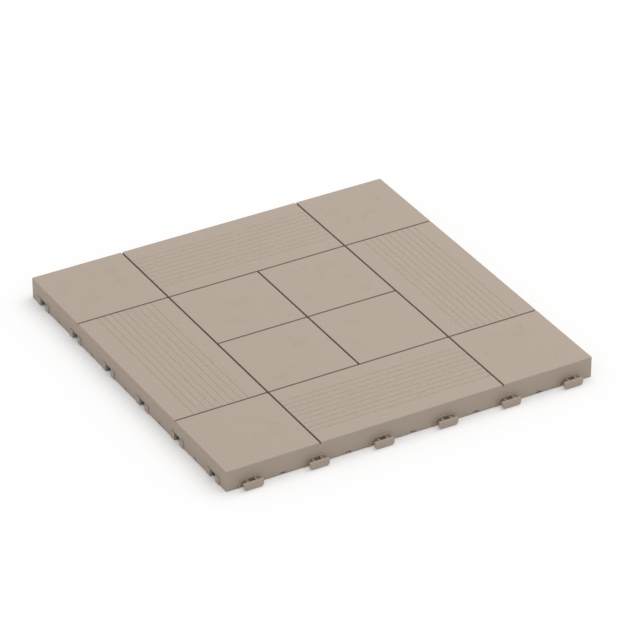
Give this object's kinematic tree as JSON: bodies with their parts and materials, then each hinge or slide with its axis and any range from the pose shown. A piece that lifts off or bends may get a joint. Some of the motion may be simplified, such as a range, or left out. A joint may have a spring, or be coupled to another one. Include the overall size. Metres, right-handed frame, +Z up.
{
  "type": "deck tile",
  "caption": "Square floor tile moulded in one piece, with joint grooves and grooved panels on top, ribs underneath, click hooks on two sides and pockets on the other two.",
  "frame": {"origin": "on the floor under the centre of the tile's square outline, hooks not counted", "axes": "+Z up through the walking face; hooks stand out of the -Y and +X walls, pockets are in the -X and +Y walls"},
  "size_m": [0.4093, 0.4093, 0.022],
  "materials": {
    "tile_plastic": "matt taupe, with a faint stone-like texture on the walking face"
  },
  "bodies": {
    "root": {"deck_tile": "tile_plastic"}
  },
  "joints": []
}
